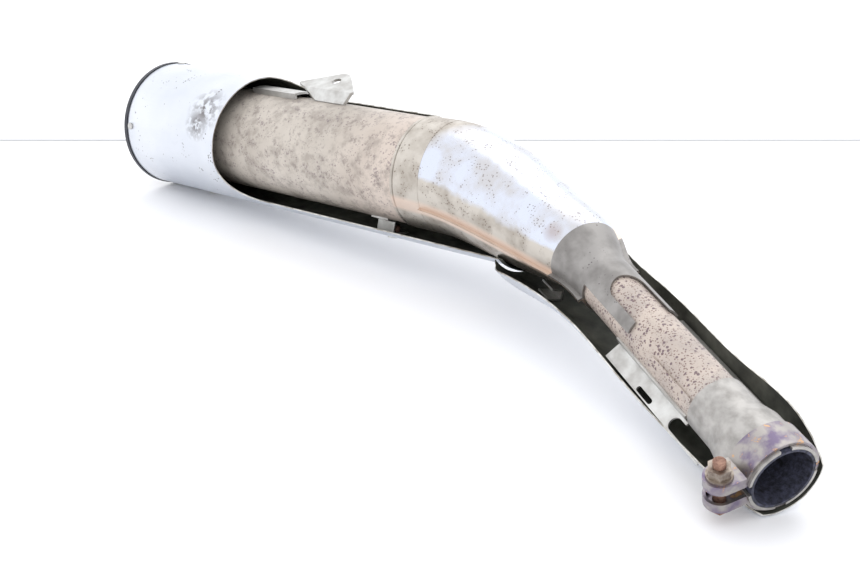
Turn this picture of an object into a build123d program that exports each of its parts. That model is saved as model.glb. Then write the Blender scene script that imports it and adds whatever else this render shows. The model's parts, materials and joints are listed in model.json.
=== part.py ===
from build123d import *
from math import cos, radians, sin
import os

# An exhaust muffler for a motorcycle: a round can, a bent clamshell cone, an inlet pipe with a
# clamped slip joint, and two sheet covers. Millimetres. The origin is the centre of the inlet mouth,
# +X runs from the tail to the inlet and +Z is up, as the muffler lies on its covers.
os.makedirs("parts", exist_ok=True)

# Axes: the can climbs a little to the front, and the inlet pipe turns to -Y and dips to its mouth.
CAN_RISE = 3.7
PIPE_YAW = 27.1
PIPE_DIP = 10.0
PIPE_RUN = 361.0
CAN_RUN = 458.0

# Can, cone and pipe. Distances along the can count from the tail, along the pipe from its mouth.
SHEET = 1.2
CAN_R = 47.5
CAN_START = 12.0
CAN_END = 366.0
CAN_BORE = CAN_R - SHEET - 0.1
COLLAR_R = 48.9
CONE_START = 386.0
CONE_SHEET = 1.5
REAR_BAFFLE = 110.0
FRONT_BAFFLE = 270.0
CROSS_R = 8.0
CROSS_REACH = 32.0
PIPE_R = 19.6
PIPE_WALL = 1.5
PIPE_FRONT = -46.0
PIPE_BEND_R = 140.0
PIPE_END = 330.0
CORE_END = 150.0
TAIL_R = 17.0
TAIL_WALL = 1.4
NECK_R = 21.7
NECK_END = -214.0
TONGUE_END = -151.0
SOCKET_R = 24.1
SOCKET_BORE = 22.1
GASKET_BORE = 20.4

# Covers: a full sleeve at the tail that opens into a trough, and a trough that follows the pipe.
# Angles run from the top towards the -Y side: 90 is level on that side and 180 is straight down.
COVER_R = 62.0
COVER_WALL = 1.0
COVER_END = 468.0
MOUTH_R = 28.6
OPENING_ANGLE = 41.5
OPENING_START = 141.0
OPENING_DEPTH = -6.0
OPENING_CORNER = 45.0
OPENING_SLANT = 6.0
SCREW_R = 2.9
SCREW_SPOTS = ((60, 175), (60, 290), (318, 172), (318, 285))

# Clamp: a 20 mm band on the slotted socket, closed by an M8 bolt through two cupped ears.
BAND_WALL = 1.9
BAND_FIT = 0.08
BAND_WIDTH = 20.0
BAND_CENTRE = -12.0
EAR_ANGLE = 103.0
EAR_REACH = 36.0
EAR_R = 10.0
EAR_GAP = 4.0
EAR_DEPTH = 7.0
EAR_SHEET = 2.0
BOLT_R = 4.0
BOLT_HOLE = 4.35
HEAD_R = 6.9
HEAD_HEIGHT = 5.3
BOLT_TIP = 24.0
NUT_R = 7.5
NUT_HEIGHT = 6.5
WASHER_R = 8.3
WASHER_T = 1.6
PLAY = 0.05

can_axis = Vector(cos(radians(CAN_RISE)), 0, sin(radians(CAN_RISE)))
pipe_axis = Vector(1, 0, 0).rotate(Axis.Y, PIPE_DIP).rotate(Axis.Z, -PIPE_YAW)
bend_point = pipe_axis * -PIPE_RUN
tail_point = bend_point - can_axis * CAN_RUN


def across(point, direction):
    """A plane square to a direction: its x points up and its y points to the -Y side."""
    level = direction.cross(Vector(0, 0, 1))
    return Plane(origin=point, x_dir=level.cross(direction), z_dir=direction)


can = across(tail_point, can_axis)
pipe = across(Vector(0, 0, 0), pipe_axis)


def outward(plane, angle):
    """The unit vector that points away from the plane's normal line at this angle."""
    return plane.x_dir * cos(radians(angle)) + plane.y_dir * sin(radians(angle))


def facing(plane, along, angle, radius=0.0):
    """A plane that faces outward at this angle: x runs forward along the normal line."""
    out = outward(plane, angle)
    place = plane.origin + plane.z_dir * along + out * radius
    return Plane(origin=place, x_dir=plane.z_dir, z_dir=out)


def beside(plane, angle):
    """A plane through the normal line: x runs forward and y points outward at this angle."""
    out = outward(plane, angle)
    return Plane(origin=plane.origin, x_dir=plane.z_dir, z_dir=plane.z_dir.cross(out))


def ring(plane, start, end, outer, inner):
    """Adds a round tube along the plane's normal to the part that is open."""
    with BuildSketch(plane.offset(start)) as section:
        Circle(outer)
        Circle(inner, mode=Mode.SUBTRACT)
    extrude(section.sketch, amount=end - start)


def strip(plane, outer, inner, start, end):
    """Draws a curved sheet's section on a plane, between two angles."""
    with BuildSketch(plane) as section:
        with BuildLine():
            outside = CenterArc((0, 0), outer, start, end - start)
            inside = CenterArc((0, 0), inner, start, end - start)
            Line(outside @ 0, inside @ 0)
            Line(outside @ 1, inside @ 1)
        make_face()
    return section.sketch


def curved_sheet(plane, start, end, outer, inner, angle, last_angle):
    """Adds a curved sheet along the plane's normal to the part that is open."""
    extrude(strip(plane.offset(start), outer, inner, angle, last_angle), amount=end - start)


def turned(plane, points):
    """Adds a solid of revolution about the plane's normal, from (along, radius) points."""
    with BuildSketch(beside(plane, 0)) as profile:
        with BuildLine():
            Polyline(*points, close=True)
        make_face()
    revolve(profile.sketch, axis=Axis(plane.origin, plane.z_dir))


def drill(plane, along, angle, radius, start, end):
    """Cuts a round hole outward through the part that is open."""
    with BuildSketch(facing(plane, along, angle, start)) as hole:
        Circle(radius)
    extrude(hole.sketch, amount=end - start, mode=Mode.SUBTRACT)


def stud(plane, along, angle, radius, start, end):
    """Adds a round pin that points outward to the part that is open."""
    with BuildSketch(facing(plane, along, angle, start)) as end_face:
        Circle(radius)
    extrude(end_face.sketch, amount=end - start)


def finish(builder, name):
    """Labels a finished piece and writes it as one STEP file."""
    builder.part.label = name
    export_step(builder.part, "parts/" + name + ".step")


# The can: a rolled sheet tube, its pressed rear plate and the three chambers' baffles and tubes.
with BuildPart() as can_body:
    ring(can, CAN_START, CAN_END, CAN_R, CAN_R - SHEET)
finish(can_body, "can_body")

with BuildPart() as can_rear_plate:
    ring(can, CAN_START, CAN_START + CONE_SHEET, CAN_BORE, TAIL_R + 0.1)
    ring(can, CAN_START + CONE_SHEET, CAN_START + 10, CAN_BORE, CAN_BORE - CONE_SHEET)
    with BuildSketch(can.offset(CAN_START)):
        with PolarLocations(CROSS_REACH, 3, 60):
            Circle(SCREW_R)
    extrude(amount=CONE_SHEET, mode=Mode.SUBTRACT)
finish(can_rear_plate, "can_rear_plate")

for name, along, hub, tubes in (("rear_baffle", REAR_BAFFLE, TAIL_R, 1),
                                ("front_baffle", FRONT_BAFFLE, PIPE_R, 2)):
    with BuildPart() as baffle:
        ring(can, along, along + CONE_SHEET, CAN_BORE, hub + 0.1)
        ring(can, along + CONE_SHEET, along + 9, CAN_BORE, CAN_BORE - CONE_SHEET)
        with BuildSketch(can.offset(along)):
            with PolarLocations(CROSS_REACH, tubes, 300):
                Circle(CROSS_R + 0.1)
        extrude(amount=CONE_SHEET, mode=Mode.SUBTRACT)
    finish(baffle, name)

with BuildPart() as core_tube:
    ring(can, CORE_END, PIPE_END - 0.2, PIPE_R, PIPE_R - PIPE_WALL)
    for row in range(6):
        for turn in range(6):
            drill(can, CORE_END + 16 + row * 15, turn * 60 + (row % 2) * 30, 2.5, 15, 25)
finish(core_tube, "core_tube")

for name, angle, start, end in (("crossover_short", 120, 245, 300), ("crossover_long", 300, 85, 300)):
    with BuildPart() as crossover:
        with BuildSketch(can.offset(start)):
            with PolarLocations(CROSS_REACH, 1, angle):
                Circle(CROSS_R)
                Circle(CROSS_R - SHEET, mode=Mode.SUBTRACT)
        extrude(amount=end - start)
    finish(crossover, name)

with BuildPart() as tail_pipe:
    ring(can, 2, REAR_BAFFLE + 12, TAIL_R, TAIL_R - TAIL_WALL)
finish(tail_pipe, "tail_pipe")

with BuildPart() as front_weld_bead:
    turned(can, [(354, CAN_R + 0.05), (355, 49.0), (357, 49.2), (358, CAN_R + 0.05)])
finish(front_weld_bead, "front_weld_bead")

with BuildPart() as can_collar:
    ring(can, 358.5, CONE_START, COLLAR_R, CAN_R + 0.1)
finish(can_collar, "can_collar")

# The cone: two stamped half shells, flanged along the seam, that bend from the can to the pipe.
# Each station is a share of the bend curve, a radius and a drop towards the inside of the bend.
CONE_STATIONS = ((0, 48.7, 0), (0.08, 48.4, 0.5), (0.2, 47, 1.8), (0.4, 43.4, 3.8), (0.6, 38.4, 4),
                 (0.8, 33.4, 0), (0.92, 29, -2.5), (1, 24.8, -2))
INSIDE_ANGLE = 159.0
spine = Bezier(tail_point + can_axis * CONE_START, bend_point, pipe_axis * -240.0)
seam_point = tail_point + can_axis * CONE_START + outward(can, 108) * COLLAR_R
seam = Plane(origin=(0, 0, 0), x_dir=pipe_axis, z_dir=seam_point.cross(pipe_axis))


def station(share, drop=0.0):
    """A plane across the bend curve, let down towards the inside of the bend."""
    here = across(spine @ share, spine % share)
    return Plane(origin=here.origin + outward(here, INSIDE_ANGLE) * drop, x_dir=here.x_dir, z_dir=here.z_dir)


def cone_loft(growth, mode=Mode.ADD):
    """Lofts the cone's shape, grown all round, in the part that is open."""
    places = [(station(share, drop), radius) for share, radius, drop in CONE_STATIONS]
    places += [(pipe.offset(NECK_END - 8), NECK_R), (pipe.offset(NECK_END), NECK_R)]
    sections = []
    for plane, radius in places:
        with BuildSketch(plane) as section:
            Circle(radius + growth)
        sections.append(section.sketch)
    loft(sections, mode=mode)


with BuildPart() as cone_skin:
    cone_loft(0)
    cone_loft(-CONE_SHEET, Mode.SUBTRACT)

with BuildPart() as seam_flange:
    cone_loft(3.5)
    cone_loft(-CONE_SHEET, Mode.SUBTRACT)
    with BuildSketch(seam):
        Rectangle(1400, 600)
    extrude(amount=SHEET, both=True, mode=Mode.INTERSECT)

polished_end = station(0.93)

with BuildPart() as cone_lower:
    add(cone_skin.part)
    add(seam_flange.part)
    split(bisect_by=seam, keep=Keep.BOTTOM)
finish(cone_lower, "cone_lower")

with BuildPart() as cone_upper:
    add(cone_skin.part)
    add(seam_flange.part)
    split(bisect_by=seam, keep=Keep.TOP)
    split(bisect_by=polished_end, keep=Keep.BOTTOM)
finish(cone_upper, "cone_upper")

# The neck sheath carries the upper half on over the pipe and ends in a U-notched tongue.
with BuildPart() as neck_sheath:
    add(cone_skin.part)
    add(seam_flange.part)
    split(bisect_by=seam, keep=Keep.TOP)
    split(bisect_by=polished_end, keep=Keep.TOP)
    curved_sheet(pipe, NECK_END, TONGUE_END, NECK_R, NECK_R - CONE_SHEET, -55, 75)
    with BuildSketch(facing(pipe, -183, 12, 5)):
        with Locations((30, 0)):
            SlotOverall(86, 26)
    extrude(amount=30, mode=Mode.SUBTRACT)
finish(neck_sheath, "neck_sheath")

# The inlet pipe runs from the socket through the neck and bends into the can.
with BuildPart() as inlet_pipe:
    with BuildLine():
        run = FilletPolyline(pipe_axis * PIPE_FRONT, bend_point, tail_point + can_axis * PIPE_END,
                             radius=PIPE_BEND_R)
    with BuildSketch(pipe.offset(PIPE_FRONT)):
        Circle(PIPE_R)
        Circle(PIPE_R - PIPE_WALL, mode=Mode.SUBTRACT)
    sweep(path=run)
finish(inlet_pipe, "inlet_pipe")

with BuildPart() as pipe_seam_strip:
    curved_sheet(pipe, -122, -74, PIPE_R + 1.5, PIPE_R + 0.05, 69, 76)
finish(pipe_seam_strip, "pipe_seam_strip")

# The slip socket: swaged out from the pipe, with four slots that let the clamp close it.
with BuildPart() as inlet_socket:
    turned(pipe, [(-72, PIPE_R + 0.05), (-72, 21.2), (-48, 21.4), (-36, SOCKET_R), (0, SOCKET_R),
                  (0, SOCKET_BORE), (-35, SOCKET_BORE), (-45, PIPE_R + 0.05)])
    for turn in range(4):
        with BuildSketch(facing(pipe, 0, 10 + turn * 90, 15)):
            SlotOverall(38, 7.5)
        with BuildSketch(facing(pipe, 8, 10 + turn * 90, 15)):
            Rectangle(40, 7.5)
        extrude(amount=20, mode=Mode.SUBTRACT)
finish(inlet_socket, "inlet_socket")

with BuildPart() as inlet_gasket:
    ring(pipe, -33, 0, SOCKET_BORE - 0.05, GASKET_BORE)
finish(inlet_gasket, "inlet_gasket")

# The clamp's bolt stands across the gap between the ears, square to the pipe.
ear_out = outward(pipe, EAR_ANGLE)
ear = Plane(origin=pipe_axis * BAND_CENTRE, x_dir=ear_out, z_dir=ear_out.cross(pipe_axis))
bolt_plane = Plane(origin=ear.origin + ear_out * EAR_REACH, x_dir=ear.x_dir, z_dir=ear.z_dir)
EAR_TOP = EAR_GAP + EAR_DEPTH
BAND_R = SOCKET_R + BAND_FIT

with BuildPart() as clamp_band:
    curved_sheet(pipe, BAND_CENTRE - BAND_WIDTH / 2, BAND_CENTRE + BAND_WIDTH / 2,
                 BAND_R + BAND_WALL, BAND_R, EAR_ANGLE + 12, EAR_ANGLE + 348)
    for side in (-1, 1):
        with BuildSketch(ear.offset(side * EAR_GAP)):
            with Locations((EAR_REACH, 0)):
                Circle(EAR_R)
            with Locations((EAR_REACH - 7, 0)):
                Rectangle(14, EAR_R * 2)
        extrude(amount=side * EAR_DEPTH)
        with BuildSketch(ear.offset(side * EAR_GAP)):
            with Locations((EAR_REACH, 0)):
                Circle(EAR_R - EAR_SHEET)
            with Locations((EAR_REACH - 8, 0)):
                Rectangle(16, EAR_R * 2 - EAR_SHEET * 2)
        extrude(amount=side * (EAR_DEPTH - EAR_SHEET), mode=Mode.SUBTRACT)
    with BuildSketch(bolt_plane.offset(-EAR_TOP - 1)):
        Circle(BOLT_HOLE)
    extrude(amount=EAR_TOP * 2 + 2, mode=Mode.SUBTRACT)
    with BuildSketch(pipe.offset(-30)):
        Circle(BAND_R)
    extrude(amount=40, mode=Mode.SUBTRACT)
finish(clamp_band, "clamp_band")

with BuildPart() as clamp_bolt:
    with BuildSketch(bolt_plane.offset(-EAR_TOP - PLAY - HEAD_HEIGHT)):
        RegularPolygon(HEAD_R, 6)
    extrude(amount=HEAD_HEIGHT)
    with BuildSketch(bolt_plane.offset(-EAR_TOP - PLAY)):
        Circle(BOLT_R)
    extrude(amount=EAR_TOP + BOLT_TIP)
    chamfer(clamp_bolt.faces().sort_by(Axis(bolt_plane.origin, bolt_plane.z_dir))[-1].edges(), 0.8)
finish(clamp_bolt, "clamp_bolt")

with BuildPart() as clamp_washer:
    ring(bolt_plane, EAR_TOP + PLAY, EAR_TOP + PLAY + WASHER_T, WASHER_R, BOLT_HOLE)
finish(clamp_washer, "clamp_washer")

with BuildPart() as clamp_nut:
    with BuildSketch(bolt_plane.offset(EAR_TOP + PLAY * 2 + WASHER_T)):
        RegularPolygon(NUT_R, 6)
        Circle(BOLT_R + PLAY, mode=Mode.SUBTRACT)
    extrude(amount=NUT_HEIGHT)
finish(clamp_nut, "clamp_nut")

# The hanger: a channel welded along the top of the can, and a pressed lug whose skirt comes down to
# the can on the -Y side. The lug's flat top leans HANGER_LEAN to that side and holds one bolt hole.
# The lug's outline is drawn square to that top, from (along, sideways) points.
HANGER_LEAN = 17.0
HANGER_HOLE = 228.0
HANGER_SIDE = 38.7
HANGER_R = 14.0
HANGER_HOLE_R = 4.7
STRIP_R = 53.0

with BuildPart() as hanger_strip:
    curved_sheet(can, 138, 197, STRIP_R, STRIP_R - 2, -34, 5)
    curved_sheet(can, 138, 197, STRIP_R - 1.9, CAN_R + 0.05, 2.5, 5)
    curved_sheet(can, 138, 197, STRIP_R - 1.9, CAN_R + 0.05, -34, -31.5)
finish(hanger_strip, "hanger_strip")

with BuildPart() as hanger_bracket:
    with BuildSketch(can.offset(180)):
        with BuildLine():
            Polyline((48.3, -1), (58.6, -5.8), (67.8, -35.9), (65.3, -36.7), (56.4, -7.5),
                     (47.75, -3.5), close=True)
        make_face()
    extrude(amount=84)
    with BuildSketch(facing(can, 0, HANGER_LEAN)) as outline:
        with Locations((HANGER_HOLE, HANGER_SIDE)):
            Circle(HANGER_R)
        with Locations((190, 29), (224, 15), (252, 15), (260, 25)):
            Circle(2)
        make_hull()
    extrude(outline.sketch, amount=90, mode=Mode.INTERSECT)
    with BuildSketch(facing(can, 0, HANGER_LEAN, 40)) as bolt_hole:
        with Locations((HANGER_HOLE, HANGER_SIDE)):
            Circle(HANGER_HOLE_R)
    extrude(bolt_hole.sketch, amount=30, mode=Mode.SUBTRACT)
finish(hanger_bracket, "hanger_bracket")

# The rear cover is a rolled sleeve, cut away towards the front to a trough on its outer side. Its
# far edge drops lower again beside the cone.
opening_out = outward(can, OPENING_ANGLE)
slanted = can_axis.rotate(Axis((0, 0, 0), opening_out), -OPENING_SLANT)
opening = Plane(origin=tail_point, x_dir=slanted, z_dir=slanted.cross(opening_out))

with BuildPart() as rear_cover:
    ring(can, 0.2, COVER_END, COVER_R, COVER_R - COVER_WALL)
    with BuildSketch(opening):
        with BuildLine():
            FilletPolyline((OPENING_START, 200), (OPENING_START, OPENING_DEPTH), (700, OPENING_DEPTH),
                           (700, 200), radius=OPENING_CORNER, close=True)
        make_face()
    extrude(amount=120, both=True, mode=Mode.SUBTRACT)
    with BuildSketch(facing(can, 0, -70, 40)):
        with BuildLine():
            Polyline((322, -30), (342, 15), (400, 17), (480, 46), (600, 46), (600, -30), close=True)
        make_face()
    extrude(amount=40, mode=Mode.SUBTRACT)
    for along, angle in SCREW_SPOTS:
        drill(can, along, angle, SCREW_R + 0.3, 55, 70)
    for turn in range(4):
        drill(can, 9, 80 + turn * 90, 1.7, 55, 70)
finish(rear_cover, "rear_cover")

# The front cover continues it as a U-shaped trough under the bend and the pipe, and its nose turns
# in round the mouth. Each section is a plane, a radius and the angles of its two edges.
start_point = (can.origin + can_axis * (COVER_END + 3) + spine @ 0.46) / 2
front_sections = (
    (Plane(origin=start_point, x_dir=can.x_dir, z_dir=can.z_dir), 60.0, 128, 258),
    (station(0.75), 52.5, 120, 258),
    (pipe.offset(-235), 42.0, 119, 264),
    (pipe.offset(-190), 37.5, 121, 276),
    (pipe.offset(-150), 37.0, 125, 279),
    (pipe.offset(-110), 36.5, 138, 281),
    (pipe.offset(-46), 36.0, 158, 296),
    (pipe.offset(-22), 33.8, 160, 290),
    (pipe.offset(0), MOUTH_R, 164, 276),
)

with BuildPart() as front_cover:
    loft([strip(plane, radius, radius - COVER_WALL, angle, last_angle)
          for plane, radius, angle, last_angle in front_sections])
finish(front_cover, "front_cover")

# The saddle bracket: a sheet that cradles the pipe and spreads a wing to each edge of the cover.
with BuildPart() as saddle_bracket:
    curved_sheet(pipe, -165, -76, PIPE_R + 1.6, PIPE_R + 0.05, 112, 262)
    for angle in (132, 262):
        with BuildSketch(beside(pipe, angle)):
            with Locations((-106, 27)):
                Rectangle(118, 14)
        extrude(amount=0.8, both=True)
    with BuildSketch(beside(pipe, 132)):
        with Locations((-64, 28)):
            SlotOverall(44, 10)
        with Locations((-116, 31)):
            SlotOverall(18, 4)
    extrude(amount=6, both=True, mode=Mode.SUBTRACT)
    with BuildSketch(pipe.offset(-75)):
        Circle(SOCKET_R + 0.3)
    extrude(amount=40, mode=Mode.SUBTRACT)
finish(saddle_bracket, "saddle_bracket")

# Four stays stand on the can and hold the rear cover by screws; each has a weld nut inside.
for number, (along, angle) in enumerate(SCREW_SPOTS, start=1):
    with BuildPart() as cover_stay:
        curved_sheet(can, along - 10, along + 10, CAN_R + 1.55, CAN_R + 0.05, angle - 24, angle - 10)
        curved_sheet(can, along - 10, along + 10, COVER_R - 1.1, COVER_R - 2.6, angle - 12, angle + 8)
        with BuildSketch(facing(can, along, angle - 11, CAN_R + 0.5)):
            Rectangle(20, 1.5)
        extrude(amount=COVER_R - 1.8 - CAN_R - 0.5)
        drill(can, along, angle, SCREW_R + 0.1, 55, 64)
    finish(cover_stay, "cover_stay_" + str(number))

# One more stay ties the neck of the cone to the front cover.
with BuildPart() as neck_stay:
    curved_sheet(station(0.8), -8, 8, 38.6, 37.1, 160, 176)
    curved_sheet(station(0.8), -8, 8, 47.0, 45.5, 160, 176)
    with BuildSketch(facing(station(0.8), 0, 175, 37.8)):
        Rectangle(16, 1.5)
    extrude(amount=8.5)
finish(neck_stay, "neck_stay")

with BuildPart() as cover_screws:
    for along, angle in SCREW_SPOTS:
        stud(can, along, angle, SCREW_R, COVER_R - 9, COVER_R + 0.2)
        stud(can, along, angle, 5.6, COVER_R + 0.1, COVER_R + 2.8)
finish(cover_screws, "cover_screws")

with BuildPart() as cover_weld_nuts:
    for along, angle in SCREW_SPOTS:
        with BuildSketch(facing(can, along, angle, COVER_R - 7.6)):
            RegularPolygon(5.8, 6)
            Circle(SCREW_R + 0.05, mode=Mode.SUBTRACT)
        extrude(amount=4.6)
finish(cover_weld_nuts, "cover_weld_nuts")

# The tail: a dished cap fills the sleeve round the tail pipe, under a rolled ring on the edge.
with BuildPart() as rear_cap:
    turned(can, [(18, COVER_R - 1.1), (3, COVER_R - 1.1), (3, 46), (10.4, 40), (10.4, 24), (11.9, 24),
                 (11.9, 41), (4.5, 47), (4.5, COVER_R - 2.3), (18, COVER_R - 2.3)])
    with BuildSketch(can):
        with PolarLocations(CROSS_REACH, 3, 60):
            Circle(SCREW_R + 0.1)
    extrude(amount=20, mode=Mode.SUBTRACT)
    for turn in range(4):
        drill(can, 9, 80 + turn * 90, 1.7, 50, 70)
finish(rear_cap, "rear_cap")

with BuildPart() as cap_screws:
    with BuildSketch(can.offset(7.6)):
        with PolarLocations(CROSS_REACH, 3, 60):
            Circle(5.0)
    extrude(amount=2.75)
    with BuildSketch(can.offset(10)):
        with PolarLocations(CROSS_REACH, 3, 60):
            Circle(SCREW_R - 0.1)
    extrude(amount=12)
finish(cap_screws, "cap_screws")

with BuildPart() as rim_ring:
    turned(can, [(-1.2, 60.2), (-1.2, 62.4), (-0.6, 63), (3.6, 63), (3.6, COVER_R + 0.1),
                 (0.1, COVER_R + 0.1), (0.1, 60.2)])
finish(rim_ring, "rim_ring")

with BuildPart() as cap_rivets:
    for turn in range(4):
        stud(can, 9, 80 + turn * 90, 1.6, 56, COVER_R + 0.2)
        stud(can, 9, 80 + turn * 90, 3.4, COVER_R + 0.1, COVER_R + 1.2)
finish(cap_rivets, "cap_rivets")
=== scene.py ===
import json
import math

import bmesh
import bpy
from mathutils import Matrix, Vector


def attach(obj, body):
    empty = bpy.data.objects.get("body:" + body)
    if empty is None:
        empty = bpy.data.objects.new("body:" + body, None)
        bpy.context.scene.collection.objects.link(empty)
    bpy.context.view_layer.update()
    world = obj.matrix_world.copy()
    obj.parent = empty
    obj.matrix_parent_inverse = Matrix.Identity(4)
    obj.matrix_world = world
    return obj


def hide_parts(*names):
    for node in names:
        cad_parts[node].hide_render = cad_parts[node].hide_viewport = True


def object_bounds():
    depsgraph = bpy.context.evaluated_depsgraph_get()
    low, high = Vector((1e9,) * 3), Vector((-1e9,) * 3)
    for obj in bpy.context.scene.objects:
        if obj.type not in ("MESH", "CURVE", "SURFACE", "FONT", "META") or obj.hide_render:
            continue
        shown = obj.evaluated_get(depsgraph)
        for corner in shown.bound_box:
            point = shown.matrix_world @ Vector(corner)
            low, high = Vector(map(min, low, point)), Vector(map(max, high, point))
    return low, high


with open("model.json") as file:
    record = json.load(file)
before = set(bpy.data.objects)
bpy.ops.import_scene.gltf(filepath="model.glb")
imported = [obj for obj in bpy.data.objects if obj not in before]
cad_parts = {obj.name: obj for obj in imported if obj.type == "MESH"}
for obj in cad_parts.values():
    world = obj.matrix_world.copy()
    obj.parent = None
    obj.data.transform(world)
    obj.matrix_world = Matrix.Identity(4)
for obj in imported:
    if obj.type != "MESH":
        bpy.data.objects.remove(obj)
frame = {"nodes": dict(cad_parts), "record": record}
cad_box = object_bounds()

# The muffler's two centre lines come from its mounts: the gas leaves along the tail outlet's axis,
# and the inlet socket's axis points out of the mouth. They meet in the neck.
mounts = {mount["name"]: mount for mount in frame["record"]["mounts"]}
pipe_axis = Vector(mounts["inlet_socket"]["axis"]).normalized()
can_axis = -Vector(mounts["tail_outlet"]["axis"]).normalized()
OUTLET_STANDOUT = 0.010
mouth = Vector((0, 0, 0))
tail = Vector(mounts["tail_outlet"]["pos_m"]) - can_axis * OUTLET_STANDOUT


def axis_frame(origin, axis):
    """The frame of a centre line: x points up, y to the -Y side and z along the axis."""
    up = axis.cross(Vector((0, 0, 1))).cross(axis).normalized()
    turned = Matrix((up, axis.cross(up), axis)).transposed()
    return Matrix.Translation(origin) @ turned.to_4x4()


can = axis_frame(tail, can_axis)
pipe = axis_frame(mouth, pipe_axis)

# The camera looks down along the part from beyond the mouth, as someone would who stands at the
# bench and reads it from the inlet to the tail.
CAMERA_PLACE = Vector((0.2356, -0.5890, 0.3916))
CAMERA_TILT = math.radians(65.95)
CAMERA_TURN = math.radians(40.97)
CAMERA_LENS = 50.23
camera_data = bpy.data.cameras.new("camera")
camera_data.lens = CAMERA_LENS
camera = bpy.data.objects.new("camera", camera_data)
camera.location = CAMERA_PLACE
camera.rotation_euler = (CAMERA_TILT, 0.0, CAMERA_TURN)
bpy.context.scene.collection.objects.link(camera)
bpy.context.scene.camera = camera
bpy.context.scene.view_settings.view_transform = "Standard"


def linear(code):
    """Turns an sRGB hex colour to linear values with full alpha."""
    parts = [int(code[i:i + 2], 16) / 255 for i in (1, 3, 5)]
    return tuple(c / 12.92 if c <= 0.04045 else ((c + 0.055) / 1.055) ** 2.4 for c in parts) + (1.0,)


def add_node(tree, kind, inputs=None, **settings):
    """Adds one node, sets its properties, and fills or links its inputs."""
    made = tree.nodes.new(kind)
    for key, value in settings.items():
        setattr(made, key, value)
    for key, value in (inputs or {}).items():
        if isinstance(value, bpy.types.NodeSocket):
            tree.links.new(value, made.inputs[key])
        else:
            made.inputs[key].default_value = value
    return made


def new_material(name, colour, metallic, roughness):
    """A material with one shader; returns it, its node tree and the shader."""
    made = bpy.data.materials.new(name)
    made.use_nodes = True
    made.diffuse_color = linear(colour)
    shader = made.node_tree.nodes["Principled BSDF"]
    shader.inputs["Base Color"].default_value = linear(colour)
    shader.inputs["Metallic"].default_value = metallic
    shader.inputs["Roughness"].default_value = roughness
    return made, made.node_tree, shader


def stage_sheet(name, half_sides, turn, place, paint):
    """A flat level sheet of the stage: its half sides, its turn, its middle, and its painted finish."""
    mesh = bpy.data.meshes.new(name)
    form = bmesh.new()
    bmesh.ops.create_grid(form, x_segments=1, y_segments=1, size=1.0)
    bmesh.ops.scale(form, verts=form.verts, vec=(*half_sides, 1.0))
    bmesh.ops.rotate(form, verts=form.verts, cent=(0, 0, 0), matrix=Matrix.Rotation(turn, 3, "Z"))
    bmesh.ops.translate(form, verts=form.verts, vec=place)
    form.to_mesh(mesh)
    form.free()
    mesh.materials.append(paint)
    sheet = bpy.data.objects.new(name, mesh)
    bpy.context.scene.collection.objects.link(sheet)


# The bench top is white painted board, matt enough to hold only a soft shadow. A thin joint between
# two boards runs across it behind the part, square to the way the camera faces.
BENCH_HALF_SIDE = 4.0
BENCH_GAP = 0.0002
JOINT_AWAY = 1.37
JOINT_HALF_LENGTH = 2.0
JOINT_HALF_WIDTH = 0.003
bench_top = cad_box[0][2]
bench_paint, _, _ = new_material("white_bench_paint", "#F4F4F5", 0.0, 0.55)
joint_paint, _, _ = new_material("bench_joint_shadow", "#B9BABC", 0.0, 0.6)
joint_middle = CAMERA_PLACE + Vector((-math.sin(CAMERA_TURN), math.cos(CAMERA_TURN), 0)) * JOINT_AWAY
joint_middle.z = bench_top + BENCH_GAP
stage_sheet("floor", (BENCH_HALF_SIDE, BENCH_HALF_SIDE), 0.0, (0, 0, bench_top - BENCH_GAP), bench_paint)
stage_sheet("bench_joint", (JOINT_HALF_LENGTH, JOINT_HALF_WIDTH), CAMERA_TURN, joint_middle, joint_paint)

# The light is a bright overcast room: a pale world all round, a wide soft window above and behind
# the part, and a weaker one in front that opens up the shadows.
world = bpy.data.worlds.new("studio")
world.use_nodes = True
world.node_tree.nodes["Background"].inputs["Color"].default_value = linear("#FBFCFF")
world.node_tree.nodes["Background"].inputs["Strength"].default_value = 1.45
bpy.context.scene.world = world

LAMP_AIM = Vector((-0.4, 0.1, 0.0))
LAMPS = (("window", (-0.9, 1.5, 1.9), 2.2, 10),
         ("fill", (0.6, -2.2, 1.6), 2.0, 4))
for name, place, size, power in LAMPS:
    lamp = bpy.data.lights.new(name, "AREA")
    lamp.size = size
    lamp.energy = power
    lamp_object = bpy.data.objects.new(name, lamp)
    lamp_object.location = place
    lamp_object.rotation_euler = (LAMP_AIM - Vector(place)).to_track_quat("-Z", "Y").to_euler()
    bpy.context.scene.collection.objects.link(lamp_object)


def axis_space(tree, line):
    """Nodes that read a point in a centre line's frame: its vector, radius and distance along."""
    place = add_node(tree, "ShaderNodeTexCoord")
    turned = add_node(tree, "ShaderNodeMapping", {
        "Vector": place.outputs["Object"], "Location": line.translation,
        "Rotation": line.to_euler()}, vector_type="TEXTURE")
    parts = add_node(tree, "ShaderNodeSeparateXYZ", {"Vector": turned.outputs[0]})
    flat = add_node(tree, "ShaderNodeCombineXYZ", {
        "X": parts.outputs["X"], "Y": parts.outputs["Y"]})
    radius = add_node(tree, "ShaderNodeVectorMath", {0: flat.outputs[0]}, operation="LENGTH")
    return turned.outputs[0], radius.outputs["Value"], parts.outputs["Z"]


def grain(tree, vector, size_mm, detail=4.0, rough=0.55):
    """A noise pattern whose features are about this many millimetres across."""
    made = add_node(tree, "ShaderNodeTexNoise", {
        "Vector": vector, "Scale": 1000.0 / size_mm, "Detail": detail, "Roughness": rough})
    return made.outputs["Fac"]


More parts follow.
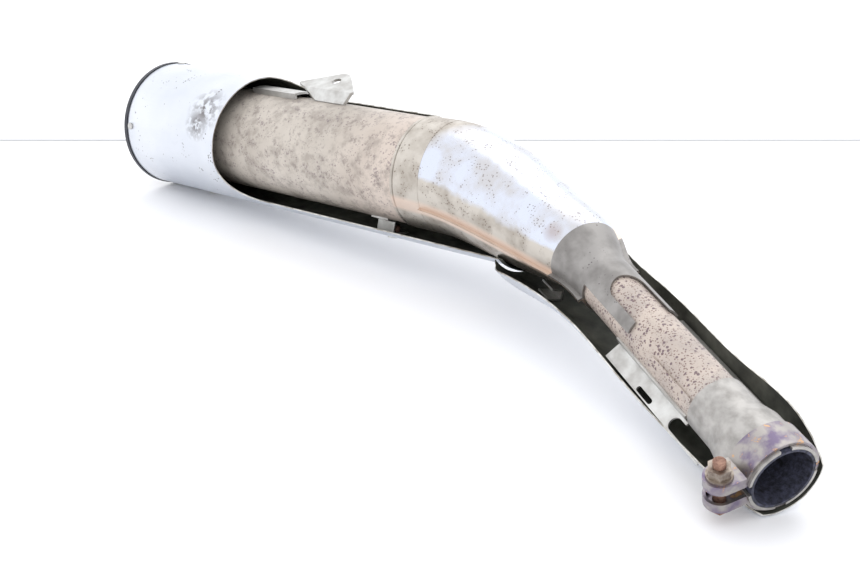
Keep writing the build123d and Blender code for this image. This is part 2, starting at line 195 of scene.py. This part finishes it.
def ramp(tree, factor, low, high, low_value=0.0, high_value=1.0):
    """Maps a range of a value to another range, held at both ends."""
    made = add_node(tree, "ShaderNodeMapRange", {
        "Value": factor, "From Min": low, "From Max": high,
        "To Min": low_value, "To Max": high_value})
    return made.outputs["Result"]


def mix(tree, factor, first, second):
    """Mixes two colours, each a hex code or a socket."""
    colour_a, colour_b, colour_out = 6, 7, 2
    made = add_node(tree, "ShaderNodeMix", {"Factor": factor}, data_type="RGBA")
    for index, colour in ((colour_a, first), (colour_b, second)):
        if isinstance(colour, str):
            made.inputs[index].default_value = linear(colour)
        else:
            tree.links.new(colour, made.inputs[index])
    return made.outputs[colour_out]


def times(tree, first, second):
    """Multiplies two values."""
    return add_node(tree, "ShaderNodeMath", {0: first, 1: second}, operation="MULTIPLY").outputs[0]


def near_spot(tree, vector, place, inner_mm, outer_mm):
    """One inside a ball round a place, falling to nothing at its outer radius."""
    gap = add_node(tree, "ShaderNodeVectorMath", {0: vector, 1: place}, operation="DISTANCE")
    return ramp(tree, gap.outputs["Value"], inner_mm / 1000, outer_mm / 1000, 1.0, 0.0)


def specks(tree, vector, size_mm, amount):
    """Small round pits scattered over a surface: one in a pit, nothing between them.

    A slow drift decides how far each cell's pit reaches, so that they gather in clouds.
    """
    drift_spread, largest_pit, pit_edge = 0.18, 0.34, 0.08
    cells = add_node(tree, "ShaderNodeTexVoronoi", {"Vector": vector, "Scale": 1000.0 / size_mm})
    drift = grain(tree, vector, size_mm * 5, 3.0)
    reach = ramp(tree, drift, 1.0 - amount, 1.0 - amount + drift_spread, 0.0, largest_pit)
    gap = add_node(tree, "ShaderNodeMath", {
        0: reach, 1: cells.outputs["Distance"]}, operation="SUBTRACT")
    return ramp(tree, gap.outputs[0], 0.0, pit_edge)


def scuff(tree, vector, place, inner_mm, outer_mm, patch_mm, low, high):
    """A rubbed place, worn through in patches: one where the wear is full."""
    patches = ramp(tree, grain(tree, vector, patch_mm), low, high)
    return times(tree, near_spot(tree, vector, place, inner_mm, outer_mm), patches)


def bump(tree, shader, height, depth_mm):
    """Gives a surface relief of this depth from a height value."""
    made = add_node(tree, "ShaderNodeBump", {
        "Height": height, "Distance": depth_mm / 1000, "Strength": 1.0})
    tree.links.new(made.outputs[0], shader.inputs["Normal"])


def polar(degrees, radius, along):
    """A point in a centre line's frame, from an angle off the top, a radius and a distance, in mm."""
    angle = math.radians(degrees)
    return (radius * math.cos(angle) / 1000, radius * math.sin(angle) / 1000, along / 1000)


def dress(made, *names):
    """Gives these CAD nodes this material in place of their own."""
    for name in names:
        slots = frame["nodes"][name].data.materials
        slots.clear()
        slots.append(made)


# The rear cover is a 1 mm sleeve of stainless sheet, rolled, welded and satin finished. Outside it is
# bright with pits and a scuff; inside it is a dull dark grey, much darker than outside. Its cut edge
# shows bright.
satin_sheet, tree, shader = new_material("satin_stainless_cover", "#CDD1D6", 1.0, 0.34)
point, _, _ = axis_space(tree, can)
drawn = add_node(tree, "ShaderNodeMapping", {"Vector": point, "Scale": (1.0, 1.0, 0.06)})
lines = grain(tree, drawn.outputs[0], 1.4, 5.0, 0.7)
pits = specks(tree, point, 3.2, 0.50)
upper_scuff = scuff(tree, point, polar(52, 62, 118), 4, 26, 7, 0.42, 0.55)
lower_scuff = scuff(tree, point, polar(66, 62, 112), 3, 18, 5, 0.40, 0.52)
worn = add_node(tree, "ShaderNodeMath", {0: upper_scuff, 1: lower_scuff}, operation="MAXIMUM").outputs[0]
colour = mix(tree, ramp(tree, grain(tree, point, 60, 3.0), 0.35, 0.7), "#CED2D9", "#DADDE2")
colour = mix(tree, times(tree, pits, 0.75), colour, "#5B5450")
colour = mix(tree, times(tree, worn, 0.8), colour, "#4A3F3A")
tree.links.new(colour, shader.inputs["Base Color"])
tree.links.new(ramp(tree, lines, 0.3, 0.7, 0.27, 0.42), shader.inputs["Roughness"])
bump(tree, shader, times(tree, pits, -1.0), 0.15)

# The inside is given a mottled dark grey, much darker than the outside of the same sheet.
dark_inside, tree, shader = new_material("dark_grey_sheet_inside", "#4B4C46", 0.35, 0.62)
point, _, _ = axis_space(tree, can)
mottle = ramp(tree, grain(tree, point, 24, 6.0, 0.6), 0.35, 0.68)
colour = mix(tree, mottle, "#3E3F39", "#6A6B62")
colour = mix(tree, times(tree, specks(tree, point, 4, 0.42), 0.6), colour, "#23211E")
tree.links.new(colour, shader.inputs["Base Color"])
bump(tree, shader, mottle, 0.05)

cut_edge, tree, shader = new_material("sheared_sheet_edge", "#C9C8C2", 1.0, 0.38)
point, _, _ = axis_space(tree, can)
tree.links.new(mix(tree, ramp(tree, grain(tree, point, 9), 0.4, 0.65), "#D6D4CE", "#8F8A80"),
               shader.inputs["Base Color"])


def merged_copy(name, made_name):
    """A copy of a CAD node's mesh with its triangles joined, to be worked on as a new piece."""
    mesh = frame["nodes"][name].data.copy()
    mesh.name = made_name
    mesh.materials.clear()
    form = bmesh.new()
    form.from_mesh(mesh)
    bmesh.ops.remove_doubles(form, verts=form.verts, dist=0.00001)
    return mesh, form


CAN_RUN = 0.458
PIPE_RUN = 0.361


def centre_near(point):
    """The nearest point of the muffler's bent centre line: the can's run, then the pipe's."""
    bend = tail + can_axis * CAN_RUN
    along_can = max(0.0, min(CAN_RUN, (point - tail).dot(can_axis)))
    along_pipe = max(0.0, min(PIPE_RUN, (point - bend).dot(pipe_axis)))
    nearest = (tail + can_axis * along_can, bend + pipe_axis * along_pipe)
    return min(nearest, key=lambda place: (point - place).length)


def sheet_piece(name, made_name, materials):
    """A cover as its own piece: outside, inside and cut edge each get a material.

    A face that looks squarely away from the centre line is outside, and one that looks squarely
    towards it is inside. The rest are cut edges.
    """
    squarely = 0.5
    mesh, form = merged_copy(name, made_name)
    for face in form.faces:
        centre = face.calc_center_median()
        outward = (centre - centre_near(centre)).normalized().dot(face.normal)
        face.material_index = 0 if outward > squarely else 1 if outward < -squarely else 2
        face.smooth = True
    for edge in form.edges:
        faces = edge.link_faces
        edge.smooth = len(faces) == 2 and faces[0].material_index == faces[1].material_index
    form.to_mesh(mesh)
    form.free()
    for made in materials:
        mesh.materials.append(made)
    piece = bpy.data.objects.new(made_name, mesh)
    bpy.context.scene.collection.objects.link(piece)
    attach(piece, "muffler")
    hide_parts(name)


sheet_piece("rear_cover", "rear_cover_sheet", (satin_sheet, dark_inside, cut_edge))
sheet_piece("front_cover", "front_cover_sheet", (satin_sheet, dark_inside, cut_edge))

# A joggled strip of the same sheet ties the rear cover's front edge to the front cover, inside both.
# Its profile gives, in millimetres, the distance along the can, the radius and the step sideways.
STRIP_PROFILE = ((460, 60.4, 0), (467, 60.4, 0), (475, 59.0, 11), (481, 58.4, 13))
STRIP_START, STRIP_ARC, STRIP_STEPS = 130, 120, 20
STRIP_SHEET = 0.0006
RING_REACH = 0.0005
strip_mesh = bpy.data.meshes.new("cover_joint_strip")
strip_form = bmesh.new()
profile = [strip_form.verts.new(polar(STRIP_START, radius, along)) for along, radius, _ in STRIP_PROFILE]
profile_edges = [strip_form.edges.new(pair) for pair in zip(profile, profile[1:])]
bmesh.ops.spin(strip_form, geom=profile + profile_edges, cent=(0, 0, 0), axis=(0, 0, 1),
               angle=math.radians(STRIP_ARC), steps=STRIP_STEPS, use_merge=False)
for along, _, sideways in STRIP_PROFILE:
    ring = [vert for vert in strip_form.verts if abs(vert.co.z - along / 1000) < RING_REACH]
    bmesh.ops.translate(strip_form, verts=ring, vec=(0, sideways / 1000, 0))
bmesh.ops.transform(strip_form, matrix=can, verts=strip_form.verts)
bmesh.ops.recalc_face_normals(strip_form, faces=strip_form.faces)
bmesh.ops.solidify(strip_form, geom=strip_form.faces, thickness=STRIP_SHEET)
bmesh.ops.recalc_face_normals(strip_form, faces=strip_form.faces)
strip_form.to_mesh(strip_mesh)
strip_form.free()
strip_mesh.materials.append(dark_inside)
strip = bpy.data.objects.new("cover_joint_strip", strip_mesh)
bpy.context.scene.collection.objects.link(strip)
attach(strip, "muffler")

# The tail cap is pressed steel, painted black, held in the sleeve by rivets under a rolled ring.
black_paint, tree, shader = new_material("black_heat_paint", "#1C1E26", 0.0, 0.42)
point, _, _ = axis_space(tree, can)
dust = ramp(tree, grain(tree, point, 12, 5.0), 0.45, 0.75)
tree.links.new(mix(tree, dust, "#171A24", "#3A3C42"), shader.inputs["Base Color"])
tree.links.new(ramp(tree, dust, 0.0, 1.0, 0.35, 0.6), shader.inputs["Roughness"])
dress(black_paint, "rear_cap", "rim_ring")

# Screws, rivets and small brackets are plain zinc-plated or bare steel, dulled by heat.
bracket_steel, tree, shader = new_material("dull_bracket_steel", "#A6A6A2", 0.9, 0.42)
point, _, _ = axis_space(tree, can)
blotch = ramp(tree, grain(tree, point, 14, 5.0), 0.38, 0.66)
colour = mix(tree, blotch, "#B4B2AE", "#CECECB")
colour = mix(tree, times(tree, specks(tree, point, 3, 0.42), 0.7), colour, "#5C4A3E")
tree.links.new(colour, shader.inputs["Base Color"])
tree.links.new(ramp(tree, blotch, 0.0, 1.0, 0.5, 0.34), shader.inputs["Roughness"])
dress(bracket_steel, "cap_rivets", "cover_screws", "cap_screws", "hanger_strip", "hanger_bracket",
      "saddle_bracket", "neck_stay", "cover_stay_1", "cover_stay_2", "cover_stay_3", "cover_stay_4")

# The can is rolled aluminised steel. Heat has turned it a warm grey-beige, with grey, brown and purple
# blotches, and a pink tint towards the weld at its front end.
can_steel, tree, shader = new_material("heat_stained_can_steel", "#CBBFB2", 0.25, 0.5)
point, _, along = axis_space(tree, can)
broad = ramp(tree, grain(tree, point, 60, 3.0), 0.36, 0.64)
colour = mix(tree, broad, "#ADA59B", "#C2BAB0")
colour = mix(tree, ramp(tree, along, 0.27, 0.35, 0.0, 0.5), colour, "#CCBAAE")
cloud = ramp(tree, grain(tree, point, 16, 6.0, 0.68), 0.48, 0.62, 0.0, 0.6)
colour = mix(tree, cloud, colour, "#8E857D")
stain = ramp(tree, grain(tree, point, 7, 7.0, 0.75), 0.54, 0.62, 0.0, 0.55)
colour = mix(tree, stain, colour, "#766B68")
colour = mix(tree, times(tree, specks(tree, point, 3.4, 0.56), 0.6), colour, "#75666C")
colour = mix(tree, times(tree, specks(tree, point, 1.8, 0.56), 0.6), colour, "#66575B")
tree.links.new(colour, shader.inputs["Base Color"])
tree.links.new(ramp(tree, broad, 0.0, 1.0, 0.52, 0.40), shader.inputs["Roughness"])
bump(tree, shader, grain(tree, point, 3, 6.0), 0.04)
dress(can_steel, "can_body", "can_rear_plate", "rear_baffle", "front_baffle", "core_tube",
      "crossover_short", "crossover_long")

# The cone is two stamped halves of stainless sheet, welded along their flanges. Where the top of the
# upper half faces up it is glossier, and painted a lighter bluish colour as a painted reflection of the
# sky, under a scatter of brown specks. Its sides and the collar are a dull warm grey, and the weld's
# heat has left the flange a peach colour. The brown spot lies on the -Y side, where the cone narrows to
# the neck, and the gloss and painted reflection start past the collar.
SEAM_TURN = math.radians(110)
GLOSSY_PAINTED_REFLECTION_SIDE = (0, -0.25, 0.97)
GLOSSY_PAINTED_REFLECTION_START = (-0.425, -0.410)
BROWN_SPOT = (0.026, 0.030, -0.262)


def stamping(name, gloss_and_reflection_amount):
    """A cone half's material: glossier and painted a lighter bluish reflection where it faces up, dull
    on its sides, peach at the seam.
    """
    made, tree, shader = new_material(name, "#B9B3AB", 1.0, 0.3)
    point, _, along = axis_space(tree, pipe)
    surface = add_node(tree, "ShaderNodeNewGeometry")
    facing_up = add_node(tree, "ShaderNodeVectorMath", {
        0: surface.outputs["Normal"], 1: GLOSSY_PAINTED_REFLECTION_SIDE}, operation="DOT_PRODUCT")
    wander = ramp(tree, grain(tree, point, 30, 3.0), 0.3, 0.7, -0.08, 0.08)
    upness = add_node(tree, "ShaderNodeMath", {
        0: facing_up.outputs["Value"], 1: wander}, operation="ADD")
    gloss_and_painted_reflection = ramp(tree, upness.outputs[0], 0.42, 0.52, 0.0, gloss_and_reflection_amount)
    gloss_and_painted_reflection = times(tree, gloss_and_painted_reflection, ramp(tree, along, *GLOSSY_PAINTED_REFLECTION_START))
    haze = ramp(tree, grain(tree, point, 24, 5.0), 0.42, 0.66)
    dull = mix(tree, haze, "#C4BEB5", "#A29A90")
    # Where the top faces up, the lighter bluish colour is a painted reflection of the sky, and the lower
    # roughness makes it glossier.
    painted_reflection_colour = mix(tree, haze, "#CBD0DC", "#BFBEC0")
    colour = mix(tree, gloss_and_painted_reflection, dull, painted_reflection_colour)
    colour = mix(tree, times(tree, specks(tree, point, 2.4, 0.60), 0.6), colour, "#6A5B52")
    gap = add_node(tree, "ShaderNodeVectorMath", {
        0: point, 1: (-math.sin(SEAM_TURN), math.cos(SEAM_TURN), 0)}, operation="DOT_PRODUCT")
    reach = add_node(tree, "ShaderNodeMath", {0: gap.outputs["Value"]}, operation="ABSOLUTE").outputs[0]
    seam_heat = ramp(tree, reach, 0.0040, 0.0080, 1.0, 0.0)
    colour = mix(tree, times(tree, seam_heat, 0.9), colour, "#D8C6B8")
    brown = times(tree, near_spot(tree, point, BROWN_SPOT, 4, 13), 0.8)
    colour = mix(tree, brown, colour, "#8F705C")
    tree.links.new(colour, shader.inputs["Base Color"])
    rough = ramp(tree, gloss_and_painted_reflection, 0.0, 1.0, 0.40, 0.20)
    worn = add_node(tree, "ShaderNodeMath", {0: rough, 1: times(tree, haze, 0.1)}, operation="ADD")
    tree.links.new(worn.outputs[0], shader.inputs["Roughness"])
    bump(tree, shader, grain(tree, point, 18, 2.0), 0.35)
    return made


# The upper half gets the painted reflection and the gloss on its up-facing top; the lower half gets
# neither.
glossy_painted_reflection_stamping = stamping("stainless_stamping_painted_reflection", 1.0)
peach_steel = stamping("heat_tinted_stamping", 0.0)
dress(glossy_painted_reflection_stamping, "cone_upper")
dress(peach_steel, "cone_lower", "can_collar", "front_weld_bead")

# The neck sheath is a stamped sheet laid over the pipe at the cone's neck. Heat has left it a dull
# grey with a few dark specks.
sheath_steel, tree, shader = new_material("grey_stamped_sheath", "#A9A39C", 0.75, 0.4)
point, _, _ = axis_space(tree, pipe)
cloud = ramp(tree, grain(tree, point, 18, 5.0), 0.38, 0.64)
colour = mix(tree, cloud, "#989592", "#7D7A77")
colour = mix(tree, times(tree, specks(tree, point, 2.6, 0.50), 0.8), colour, "#4E4048")
tree.links.new(colour, shader.inputs["Base Color"])
dress(sheath_steel, "neck_sheath")

# The inlet pipe is drawn steel tube, baked to a cream colour and covered in dark rust specks, which
# thin out towards the socket. Inside it is black with soot.
pipe_steel, tree, shader = new_material("speckled_pipe_steel", "#D8C6B6", 0.2, 0.46)
point, radius, along = axis_space(tree, pipe)
bare = ramp(tree, along, -0.085, -0.055)
colour = mix(tree, ramp(tree, grain(tree, point, 24, 4.0), 0.38, 0.64), "#BDB0A5", "#A89D95")
colour = mix(tree, bare, colour, "#A09D9A")
thick = times(tree, ramp(tree, bare, 0.0, 1.0, 1.0, 0.25), specks(tree, point, 3.6, 0.66))
colour = mix(tree, times(tree, thick, 0.85), colour, "#5B4650")
fine = times(tree, ramp(tree, bare, 0.0, 1.0, 1.0, 0.4), specks(tree, point, 1.9, 0.70))
colour = mix(tree, times(tree, fine, 0.8), colour, "#654A48")
dust = times(tree, ramp(tree, bare, 0.0, 1.0, 1.0, 0.4), specks(tree, point, 1.1, 0.62))
colour = mix(tree, times(tree, dust, 0.7), colour, "#6B5148")
soot = ramp(tree, radius, 0.0184, 0.0190, 1.0, 0.0)
colour = mix(tree, soot, colour, "#131212")
tree.links.new(colour, shader.inputs["Base Color"])
tree.links.new(ramp(tree, soot, 0.0, 1.0, 0.46, 0.95), shader.inputs["Roughness"])
bump(tree, shader, grain(tree, point, 2.5, 5.0), 0.05)
dress(pipe_steel, "inlet_pipe", "pipe_seam_strip", "tail_pipe")

# The slip socket is swaged steel, slotted so that the band can close it. It is a plain worn grey
# outside, and its bore is black with soot as far in as the slip joint's stop.
socket_steel, tree, shader = new_material("worn_socket_steel", "#8C857E", 0.85, 0.42)
point, radius, along = axis_space(tree, pipe)
wear = ramp(tree, grain(tree, point, 10, 5.0), 0.38, 0.66)
colour = mix(tree, wear, "#B3B0AC", "#93908C")
bore = times(tree, ramp(tree, radius, 0.0221, 0.0224, 1.0, 0.0), ramp(tree, along, -0.036, -0.034))
colour = mix(tree, bore, colour, "#1D1B1A")
tree.links.new(colour, shader.inputs["Base Color"])
dress(socket_steel, "inlet_socket")

# The band is spring steel, bent into two ears for the bolt. Heat has tinted it in purple patches
# with small flecks of straw yellow.
band_steel, tree, shader = new_material("heat_tinted_band_steel", "#7C7480", 0.9, 0.34)
point, _, _ = axis_space(tree, pipe)
tint = ramp(tree, grain(tree, point, 12, 4.0), 0.40, 0.60)
colour = mix(tree, tint, "#A39E9A", "#756A80")
colour = mix(tree, ramp(tree, grain(tree, point, 6, 5.0), 0.60, 0.66), colour, "#C8A27A")
tree.links.new(colour, shader.inputs["Base Color"])
dress(band_steel, "clamp_band")

# The clamp bolt is plain steel gone red-brown with rust in lighter and darker patches, and so are
# the cover's weld nuts. The rust has lifted the surface a little.
rusty_steel, tree, shader = new_material("rusted_bolt_steel", "#7A5647", 0.45, 0.6)
point, _, _ = axis_space(tree, pipe)
rust = ramp(tree, grain(tree, point, 4, 6.0, 0.65), 0.38, 0.64)
tree.links.new(mix(tree, rust, "#A98674", "#6A4A3E"), shader.inputs["Base Color"])
bump(tree, shader, rust, 0.08)
dress(rusty_steel, "clamp_bolt", "cover_weld_nuts")

# The nut and washer keep some of their plating: a worn grey-beige, with browner patches where it has
# gone.
nut_steel, tree, shader = new_material("worn_nut_steel", "#8F857C", 0.85, 0.36)
point, _, _ = axis_space(tree, pipe)
rub = ramp(tree, grain(tree, point, 5, 5.0), 0.38, 0.64)
tree.links.new(mix(tree, rub, "#A89E93", "#6F6157"), shader.inputs["Base Color"])
dress(nut_steel, "clamp_nut", "clamp_washer")

# The gasket is a sleeve of pressed graphite, burnt and crumbling: near black, with blue-grey
# crumbs that stand up from it.
graphite, tree, shader = new_material("burnt_graphite", "#23252E", 0.15, 0.7)
point, _, _ = axis_space(tree, pipe)
crumb = ramp(tree, grain(tree, point, 4, 7.0, 0.7), 0.36, 0.66)
tree.links.new(mix(tree, crumb, "#15151A", "#4A4C60"), shader.inputs["Base Color"])
bump(tree, shader, crumb, 0.3)
dress(graphite, "inlet_gasket")
